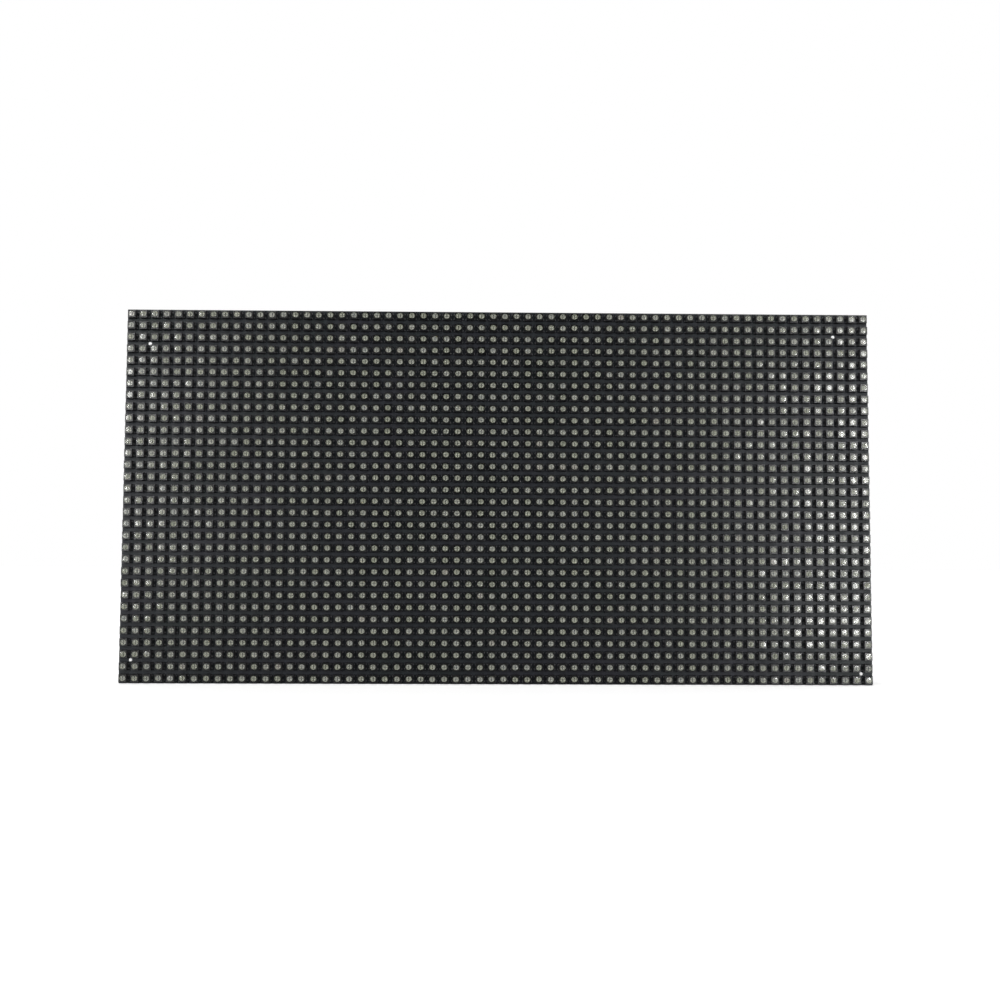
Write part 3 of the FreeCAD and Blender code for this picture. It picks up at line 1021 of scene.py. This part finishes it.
driver_pattern = small_outline_chip(
    length=8.65, width=3.9, height=1.65, leads=driver_leads, lead_pitch=driver_lead_pitch,
    lead_width=0.25, reach=3.0,
)
switch_pattern = small_outline_chip(
    length=4.9, width=3.9, height=1.6, leads=4, lead_pitch=1.27, lead_width=0.42, reach=3.0,
)
decoder_pattern = small_outline_chip(
    length=9.9, width=3.9, height=1.6, leads=8, lead_pitch=1.27, lead_width=0.42, reach=3.0,
)
buffer_pattern = quarter(small_outline_chip(
    length=6.5, width=4.4, height=1.1, leads=10, lead_pitch=0.65, lead_width=0.24, reach=3.2,
))
print("faces of one driver:", len(driver_pattern[1]))

# %% [markdown]
# The places of the chips are read back from the solids: every loose part of a node's mesh is one chip, and
# the middle of its box is its place. That keeps the looks and the model together if a chip moves later.

# %% Places read from the solids
weld_distance = 0.002


def part_places(node):
    """The middle of every separate part of a solid's mesh, at the board's back, in millimetres."""
    mesh = bmesh.new()
    mesh.from_mesh(solids[node].data)
    bmesh.ops.remove_doubles(mesh, verts=mesh.verts, dist=weld_distance * mm)
    left = set(mesh.verts)
    places = []
    while left:
        stack = [left.pop()]
        low = stack[0].co.copy()
        high = stack[0].co.copy()
        while stack:
            corner = stack.pop()
            for n in range(3):
                low[n] = min(low[n], corner.co[n])
                high[n] = max(high[n], corner.co[n])
            for edge in corner.link_edges:
                other = edge.other_vert(corner)
                if other in left:
                    left.remove(other)
                    stack.append(other)
        spot = (low + high) / 2 / mm
        places.append((round(spot.x, 3), back_skin, round(spot.z, 3)))
    mesh.free()
    return sorted(places)


for node, pattern in {
    "column_drivers_upper": driver_pattern,
    "column_drivers_lower": driver_pattern,
    "row_switches": switch_pattern,
    "row_decoders": decoder_pattern,
    "data_buffers": buffer_pattern,
}.items():
    spots = part_places(node)
    print(node, "places:", len(spots))
    make_piece(f"{node}_dressed", stamp(pattern, spots), chip_looks, [node], crease=30)

# %% [markdown]
# ## Small parts with solder ends
# Ceramic capacitors are brown bars with a bright cap at each end. Resistors are white plates with black
# glaze on top and the same bright ends. Both sit in two small hills of solder. The glaze could be a painted
# patch, but a bar of its own, a little above the plate, gives the step a real edge.

# %% Bars, caps and hills of solder
core_kind, cap_kind, hill_kind, glaze_kind = range(4)
thin_edge = 0.02


def soft_bar(x_low, x_high, half_z, low, high, kind, edge=0.05):
    """A bar along X with softened long edges."""
    profile = [
        (-half_z, low), (-half_z, high - edge), (-half_z + edge, high),
        (half_z - edge, high), (half_z, high - edge), (half_z, low),
    ]
    return pulled(profile, x_low, x_high, kind)


def end_solder(side, end, half_z, height):
    """A hill of solder that climbs the end of a small part."""
    steps = [(end - 0.12, height * 0.62, 0.8), (end + 0.06, height * 0.45, 0.95), (end + 0.38, 0.01, 1.1)]
    rings = []
    for out, level, share in steps:
        x = side * out
        base = half_z * share
        crest = base * 0.8
        rings.append([(x, 0.0, -base), (x, level, -crest), (x, level, crest), (x, 0.0, base)])
    return shell(rings, hill_kind)


def two_ended(length, width, height, cap, parts):
    """A small part with a cap and a hill of solder at each end."""
    ends = []
    for side in (-1, 1):
        x_low, x_high = sorted([side * length / 2, side * (length / 2 - cap)])
        ends.append(soft_bar(x_low, x_high, width / 2, 0.0, height, cap_kind))
        ends.append(end_solder(side, length / 2, width / 2, height))
    return together(parts + ends)


# %% Capacitors and resistors
ceramic_core = soft_bar(-0.66, 0.66, 0.60, 0.03, 0.87, core_kind)
ceramic_pattern = two_ended(2.0, 1.25, 0.9, 0.35, [ceramic_core])
resistor_plate = soft_bar(-0.54, 0.54, 0.39, 0.03, 0.38, core_kind, thin_edge)
resistor_glaze = soft_bar(-0.5, 0.5, 0.33, 0.37, 0.44, glaze_kind, thin_edge)
resistor_pattern = two_ended(1.6, 0.8, 0.45, 0.27, [resistor_plate, resistor_glaze])
ceramic_looks = ["brown_ceramic", "tinned_lead", "solder"]
resistor_looks = ["white_substrate", "tinned_lead", "solder", "black_glaze"]
print("faces of one ceramic capacitor:", len(ceramic_pattern[1]))
print("faces of one resistor:", len(resistor_pattern[1]))

# %% Resistor arrays
array_ends = 4
array_pitch = 0.8
array_half_width = 0.8
array_parts = [
    quarter(soft_bar(-1.58, 1.58, 0.62, 0.03, 0.46, core_kind, thin_edge)),
    quarter(soft_bar(-1.55, 1.55, 0.55, 0.45, 0.54, glaze_kind, thin_edge)),
]
for z in centred(array_ends, array_pitch):
    for side in (-1, 1):
        x_low, x_high = sorted([side * array_half_width, side * 0.52])
        array_parts.append(moved(soft_bar(x_low, x_high, 0.24, 0.0, 0.5, cap_kind, 0.03), z=z))
        array_parts.append(moved(end_solder(side, array_half_width, 0.22, 0.5), z=z))

for node, pattern, small_looks, slot in [
    ("ceramic_capacitors", ceramic_pattern, ceramic_looks, "capacitor_ceramic"),
    ("chip_resistors", resistor_pattern, resistor_looks, "resistor_ceramic"),
    ("resistor_arrays", together(array_parts), resistor_looks, "resistor_ceramic"),
]:
    make_piece(f"{node}_dressed", stamp(pattern, part_places(node)), small_looks, [node])

# %% [markdown]
# ## Smoothing capacitors
# A can is drawn from one sheet of aluminium. It is rolled in above the foot to hold its rubber seal, its rim
# is rounded, and its top is scored so that it opens safely. One segment of the top is printed dark to show
# the negative side. The can is turned as a profile, and the score is three raised ridges that meet.

# %% Can finish
def brushed_can():
    tree, shader = start_material("brushed_can")
    lines = mapped(tree, own_place(tree), {"Scale": (1.0, 12.0, 1.0)})
    strokes = noise(tree, lines, 420.0, detail=5.0)
    tints = [(0.52, 0.52, 0.53), (0.66, 0.66, 0.67), (0.76, 0.76, 0.77)]
    wire(tree, blend_colours(tree, strokes, tints), shader, "Base Color")
    wire(tree, stretch(tree, strokes, 0.22, 0.4), shader, "Roughness")
    relief(tree, shader, strokes, 0.3, 3e-5)
    shader.inputs["Metallic"].default_value = 1.0


brushed_can()
finish("can_print", (0.015, 0.015, 0.017), (0.028, 0.028, 0.03), 500, (0.35, 0.5), 3200, 2e-5)

# %% Turned can with its score and print
can_kind, print_kind = range(2)
can_profile = [
    (3.55, 0.0), (3.95, 0.15), (4.0, 0.9), (3.99, 1.1), (3.72, 1.45), (3.72, 1.75), (3.99, 2.1), (4.0, 2.4),
    (4.0, 8.35), (3.93, 8.65), (3.7, 8.88), (3.5, 8.95), (2.0, 8.93), (0.6, 8.93),
]
can_sides = 48
score_angles = (90, 210, 330)
print_reach = 3.45
print_half_angle = math.radians(62)
print_level = 8.965
print_points = 14


def score(angle):
    """One shallow ridge of the safety score, from the middle outwards."""
    points, faces, kinds = soft_bar(0.0, 3.0, 0.10, 8.9, 8.99, can_kind, 0.06)
    c = math.cos(angle)
    s = math.sin(angle)
    x, level, z = points.T
    return np.stack([x * c - z * s, level, x * s + z * c], 1), faces, kinds


def dark_segment():
    """The thin print on the top, bounded by an arc and a chord."""
    turn = np.linspace(-print_half_angle, print_half_angle, print_points)
    outline = [(print_reach * math.cos(a), print_reach * math.sin(a)) for a in turn]
    return slab(outline, print_level - 0.03, print_level, print_kind)


can_body = shell([circle(radius, level, can_sides) for radius, level in can_profile], can_kind)
scores = [score(math.radians(angle)) for angle in score_angles]
can_pattern = together([can_body] + scores + [dark_segment()])
can_foot = box_of("capacitor_cans")[0].y
can_spots = [(x, can_foot, z) for x, _, z in part_places("capacitor_cans")]
cans = stamp(can_pattern, can_spots)
make_piece("capacitor_cans_dressed", cans, ["brushed_can", "can_print"], ["capacitor_cans"])

# %% [markdown]
# Each can stands on a moulded foot, and two flat tabs come out from under it, one on either side. The tabs
# and their solder are all that holds the can, so they are wider than the leads of the chips.

# %% Capacitor tabs
metal_kind, solder_kind = range(2)
tab_looks = ["tinned_lead", "solder"]
tab_metal = box(-0.45, 0.45, 0.0, 0.18, 3.9, 4.9, metal_kind)
tab = together([tab_metal, solder_foot(1.5, 4.1, 5.4, solder_kind)])
tab_pair = together([tab, turned_half(tab)])
base_spots = part_places("capacitor_bases")
make_piece("capacitor_tabs", stamp(tab_pair, base_spots), tab_looks)

# %% [markdown]
# ## Cable sockets
# The ribbon cable pushes onto sixteen gilded posts in a keyed shroud. Each post is a square wire, bent to a
# tail that is soldered flat on the board, and its tip is pointed by rolling. The bend is drawn in the side
# view and pulled to the width of the wire; the point is a second short stack of square rings.

# %% One post
post_half = 0.32
post_tip = 7.6
point_length = 0.55
tail_end = 4.38
shoulder = post_tip - point_length
post_profile = [
    (-post_half, 0.0), (tail_end, 0.0), (tail_end, 0.36), (tail_end - 0.05, 0.4), (0.55, 0.4),
    (0.38, 0.47), (post_half, 0.62), (post_half, shoulder), (-post_half, shoulder), (-post_half, 0.12),
]


def square(half_side, level):
    return [(x * half_side, level, z * half_side) for x, z in corner_signs]


post_point = shell([
    square(post_half, shoulder),
    square(post_half * 0.9, post_tip - point_length * 0.7),
    square(0.13, post_tip),
], metal_kind)
post_bend = pulled(post_profile, -post_half, post_half, metal_kind)
post_pattern = quarter(together([post_bend, post_point, solder_foot(0.95, 3.3, 5.0, solder_kind)]))
print("faces of one post:", len(post_pattern[1]))

# %% Posts of both sockets
post_looks = ["gilded_post", "solder"]
contact_pitch = 2.54
contacts = [middle + z for z in centred(8, contact_pitch)]


def socket_posts(node):
    """Both rows of posts of one socket, with tails to either side."""
    low, high = box_of(node)
    x = (low.x + high.x) / 2
    posts = []
    for z in contacts:
        posts.append(moved(post_pattern, x + contact_pitch / 2, back_skin, z))
        posts.append(moved(turned_half(post_pattern), x - contact_pitch / 2, back_skin, z))
    return together(posts)


for node in ("data_in_pins", "data_out_pins"):
    make_piece(f"{node}_dressed", socket_posts(node), post_looks, [node], crease=30)

# %% Raised triangle that marks the first post
triangle_foot = 6.9
triangle = [(z, triangle_foot + level) for z, level in [(-0.75, 0.0), (0.75, 0.0), (0.0, 1.3)]]
triangle_pattern = pulled(triangle, 0.1, -0.12)
housings = ("data_in_housing", "data_out_housing")
mark_places = [(box_of(node)[0].x, back_skin, contacts[0]) for node in housings]
make_piece("first_post_marks", stamp(triangle_pattern, mark_places), ["header_plastic"])

# %% [markdown]
# ## Power header
# Thick tinned posts stand in a nylon base. The solid already has the locking wall and the pointed posts, so
# only the solder round the flat tails is added. A brighter, smoother tin is right here, because these posts
# are never gilded.

# %% Solder of the power header
power_pitch = 3.96
power_hill = turned_half(solder_foot(1.9, 4.2, 6.7))
power_places = [(x, back_skin, middle) for x in centred(4, power_pitch)]
make_piece("power_solder", stamp(power_hill, power_places), ["solder"])

# %% [markdown]
# ## Threaded inserts
# Brass inserts are pressed into the bosses of the frame. Their thread could be a texture, but the light that
# falls into the bore shows real turns, so the bore is a skin whose radius follows a screw line. The flat rim
# has a turned groove, and the outer wall is hidden in the plastic.

# %% Insert with a real thread
insert_length = 6.0
insert_radius = 2.5
bore_radius = 1.25
inner_rim = bore_radius + 0.3
thread_pitch = 0.5
thread_depth = 0.24
thread_inset = 0.25
bore_sides = 24
bore_levels = 60


def insert_pattern():
    """A sleeve with a screw line in its bore. Its rim is at the origin and its body in front of it."""
    outline = [
        (inner_rim, -insert_length), (insert_radius, -insert_length), (insert_radius, -0.06),
        (insert_radius - 0.06, 0.0), (insert_radius - 0.45, 0.0), (insert_radius - 0.5, -0.07),
        (insert_radius - 0.62, -0.07), (insert_radius - 0.67, 0.0), (inner_rim, 0.0),
    ]
    rings = [circle(radius, level, bore_sides) for radius, level in outline]
    around = np.arange(bore_sides) / bore_sides
    for n in range(bore_levels + 1):
        level = -thread_inset - (insert_length - 2 * thread_inset) * n / bore_levels
        phase = (level / thread_pitch + around) % 1.0
        groove = thread_depth * (1 - np.abs(2 * phase - 1))
        rings.append(circle(bore_radius + groove, level, bore_sides))
    rings.append(rings[0])
    points, faces, kinds = ring_skin(rings)
    return outward((points, faces[1:-1], kinds[1:-1]))


frame_back = box_of("rear_frame")[1].y
insert_spots = [(x, frame_back, z) for x, _, z in part_places("mounting_inserts")]
inserts = stamp(insert_pattern(), insert_spots)
make_piece(
    "mounting_inserts_dressed", inserts, ["knurled_brass"], ["mounting_inserts"], crease=50,
)

# %% [markdown]
# ## The back of the board
# Copper tracks under the lacquer show as soft raised lines. Short stubs run from the leads of each driver to
# small plugged holes, and longer bundles carry the data across the board. They could be a bump texture, but
# thin ribbons follow the real leads. White ink marks the outlines and the first leads. The ink holds plain
# shapes only.

# %% Ribbons and plugged holes
track_height = 0.035
hole_sides = 10
hole_steps = [(0.26, 0.0), (0.22, 0.05), (0.09, 0.03)]
hole_pattern = shell([circle(radius, level, hole_sides) for radius, level in hole_steps])
back_lines = []


def ribbon(path, width, high):
    """A flat line along a path of (x, z) points, with mitred bends."""
    path = np.asarray(path, float)
    steps = np.diff(path, axis=0)
    steps /= np.linalg.norm(steps, axis=1)[:, None]
    sides = np.stack([-steps[:, 1], steps[:, 0]], 1)
    rings = []
    for n in range(len(path)):
        first = sides[max(n - 1, 0)]
        second = sides[min(n, len(sides) - 1)]
        mitre = (first + second) / (1 + first @ second)
        left_x, left_z = path[n] + mitre * width / 2
        right_x, right_z = path[n] - mitre * width / 2
        lower = [(left_x, 0, left_z), (right_x, 0, right_z)]
        upper = [(right_x, high, right_z), (left_x, high, left_z)]
        rings.append(lower + upper)
    return moved(shell(rings), y=back_skin)


def track(width, *path):
    back_lines.append(ribbon(path, width, track_height))


def plugged_hole(x, z):
    back_lines.append(moved(hole_pattern, x, back_skin, z))


# %% [markdown]
# The drivers feed the lamps on the other side, so a stub runs from each lead that faces the middle of the
# board to a hole through it. Three lengths in turn keep neighbouring holes apart. On the outer side only a
# few leads have a stub, for the supply and the clock.

# %% Stubs from the driver leads
stub_width = 0.17
stub_start = 3.1
stub_ends = (4.1, 4.72, 5.34)
outer_stub_end = 3.85
outer_stub_leads = (0, 1, 5, 6, 10, 11)
driver_spots = part_places("column_drivers_upper") + part_places("column_drivers_lower")
for x, _, z in driver_spots:
    inward = -1 if z > middle else 1
    for n, offset in enumerate(centred(driver_leads, driver_lead_pitch)):
        lead_x = x + offset
        stubs = [(inward, stub_ends[n % len(stub_ends)])]
        if n in outer_stub_leads:
            stubs.append((-inward, outer_stub_end))
        for way, end in stubs:
            track(stub_width, (lead_x, z + way * stub_start), (lead_x, z + way * end))
            plugged_hole(lead_x, z + way * end)
print("stubs and holes:", len(back_lines))

# %% [markdown]
# Six lines run along the board in each half, between the two rows of drivers. Every line starts a little
# later and ends a little sooner than the one before it, so that no hole blocks its neighbour.

# %% Data bundles
bundle_lines = 6
bundle_width = 0.18
bundle_gap = 0.36
bundle_z = 16.7
bundle_left = -84
bundle_right = 67
line_step = 0.9
bend = 1.2
for side in (-1, 1):
    for n in range(bundle_lines):
        z = middle + side * (bundle_z + n * bundle_gap)
        start = bundle_left + line_step * n
        end = bundle_right - line_step * n
        track(bundle_width, (start, z), (end - bend, z), (end, z - side * bend))
        plugged_hole(start, z)
        plugged_hole(end, z - side * bend)
print("with the bundles:", len(back_lines))

# %% [markdown]
# The outer power posts feed the two cans through wide lines, because a lit panel draws several amperes. The
# inner posts have a short wide line each, with a pair of holes that lead through the board.

# %% Power lines
power_width = 2.2
outer_post = 1.5 * power_pitch
inner_post = 0.5 * power_pitch
post_end_z = -6.0
power_low_z = -9.5
power_corner = 1.5
inner_end_z = -7.9
power_hole_z = -7.4
power_hole_offset = 0.6
can_x = max(x for x, _, _ in base_spots)
power_route = [
    (outer_post, post_end_z), (outer_post, power_low_z + power_corner), (7.4, power_low_z),
    (can_x - power_corner, power_low_z), (can_x, power_low_z + power_corner), (can_x, -4.6),
]
for side in (-1, 1):
    post_x = side * inner_post
    track(power_width, *[(side * x, middle + z) for x, z in power_route])
    track(power_width, (post_x, middle + post_end_z), (post_x, middle + inner_end_z))
    for way in (-1, 1):
        plugged_hole(post_x + way * power_hole_offset, middle + power_hole_z)
print("with the power lines:", len(back_lines))

# %% [markdown]
# Each contact on the inner side of the input socket leads to one end of a resistor array. From the arrays
# the lines go on to the input buffers and draw a little closer together on the way.

# %% Lines of the data socket
contact_line_x = (70.2, 69.7, 69.2, 68.8)
contact_line_width = 0.22
array_line_x = (67.0, 66.5, 65.9, 65.3)
array_line_width = 0.18
drawn_together = 0.86
array_end_offsets = (-array_pitch / 2, array_pitch / 2)


def step_line(width, stops, start_z, end_z):
    """A line that changes its height between its second and its third stop."""
    track(width, *zip(stops, (start_z, start_z, end_z, end_z)))


array_z = sorted(z for _, _, z in part_places("resistor_arrays"))
for n, contact_z in enumerate(contacts):
    step_line(contact_line_width, contact_line_x, contact_z, array_z[n // 2] + array_end_offsets[n % 2])
for z in array_z:
    for offset in centred(array_ends, array_pitch):
        start_z = z + offset
        step_line(array_line_width, array_line_x, start_z, middle + (start_z - middle) * drawn_together)
make_piece("rear_tracks", together(back_lines), ["lacquered_track"], crease=30)

# %% [markdown]
# White ink is printed through a fine screen, so each stroke has one width and square ends. Lines beside a
# chip show where its body goes, a short bar shows its first lead, a plus sign stands beside each can, and
# three arrows show the way of the data and which side goes up. The strokes are ribbons too, thinner than the
# tracks.

# %% White ink
ink = []
ink_height = 0.02
chip_line = 0.15
frame_line = 0.18


def draw(width, *path):
    ink.append(ribbon(path, width, ink_height))


def side_lines(x, z, half_length, half_width):
    """An upright line at each end of a chip."""
    for side in (-1, 1):
        line_x = x + side * half_length
        draw(chip_line, (line_x, z - half_width), (line_x, z + half_width))


# %% Ink round the chips and sockets
driver_half = 4.7
driver_line_half = 1.9
chip_line_half = 2.1
first_lead_z = -2.5
first_lead_length = 0.35
socket_gap = 0.5
frame_gap = 0.6
bracket_arm = 2
for x, _, z in driver_spots:
    side_lines(x, z, driver_half, driver_line_half)
    bar_x = x - driver_half
    draw(first_lead_length, (bar_x, z + first_lead_z), (bar_x + first_lead_length, z + first_lead_z))
for node, half_length in (("row_switches", 2.75), ("row_decoders", 5.25)):
    for x, _, z in part_places(node):
        side_lines(x, z, half_length, chip_line_half)
for node in housings:
    low, high = box_of(node)
    left = low.x - socket_gap
    right = high.x + socket_gap
    for z, arm in ((low.z - frame_gap, bracket_arm), (high.z + frame_gap, -bracket_arm)):
        draw(frame_line, (left, z + arm), (left, z), (right, z), (right, z + arm))
low, high = box_of("power_housing")
left = low.x - frame_gap
right = high.x + frame_gap
top = high.z + frame_gap
draw(frame_line, (left, low.z), (left, top), (right, top), (right, low.z))
print("strokes round chips and sockets:", len(ink))

# %% Ink round the cans
foot_half = 4.75
foot_gap = 1.4
foot_cut = 2
foot_outline = [
    (foot_gap, -foot_half), (foot_half, -foot_half), (foot_half, foot_half - foot_cut),
    (foot_half - foot_cut, foot_half), (foot_gap, foot_half),
]
plus_line = 0.2
plus_arm = 0.7
plus_out = 6.2
plus_rise = 5.2
for x, _, z in base_spots:
    for side in (-1, 1):
        draw(frame_line, *[(x + side * out, z + rise) for out, rise in foot_outline])
    plus_x = x + math.copysign(plus_out, x)
    plus_z = z + plus_rise
    draw(plus_line, (plus_x - plus_arm, plus_z), (plus_x + plus_arm, plus_z))
    draw(plus_line, (plus_x, plus_z - plus_arm), (plus_x, plus_z + plus_arm))
print("with the cans:", len(ink))

# %% Arrows
shaft_width = 0.7
shaft_length = 3.4
head_start = 3.2
head_end = 5.2
head_half = 1.15
to_the_left = (-1, 0)
upwards = (0, 1)
for x, z, way in ((65, middle + 14.2, to_the_left), (-56, middle, to_the_left), (0, middle + 21.5, upwards)):
    start = np.array([x, z])
    way = np.array(way)
    wing = np.array([-way[1], way[0]]) * head_half
    base = start + way * head_start
    draw(shaft_width, start, start + way * shaft_length)
    head = slab([base - wing, base + wing, start + way * head_end], 0.0, ink_height)
    ink.append(moved(head, y=back_skin))
make_piece("rear_ink", together(ink), ["white_ink"], crease=30)
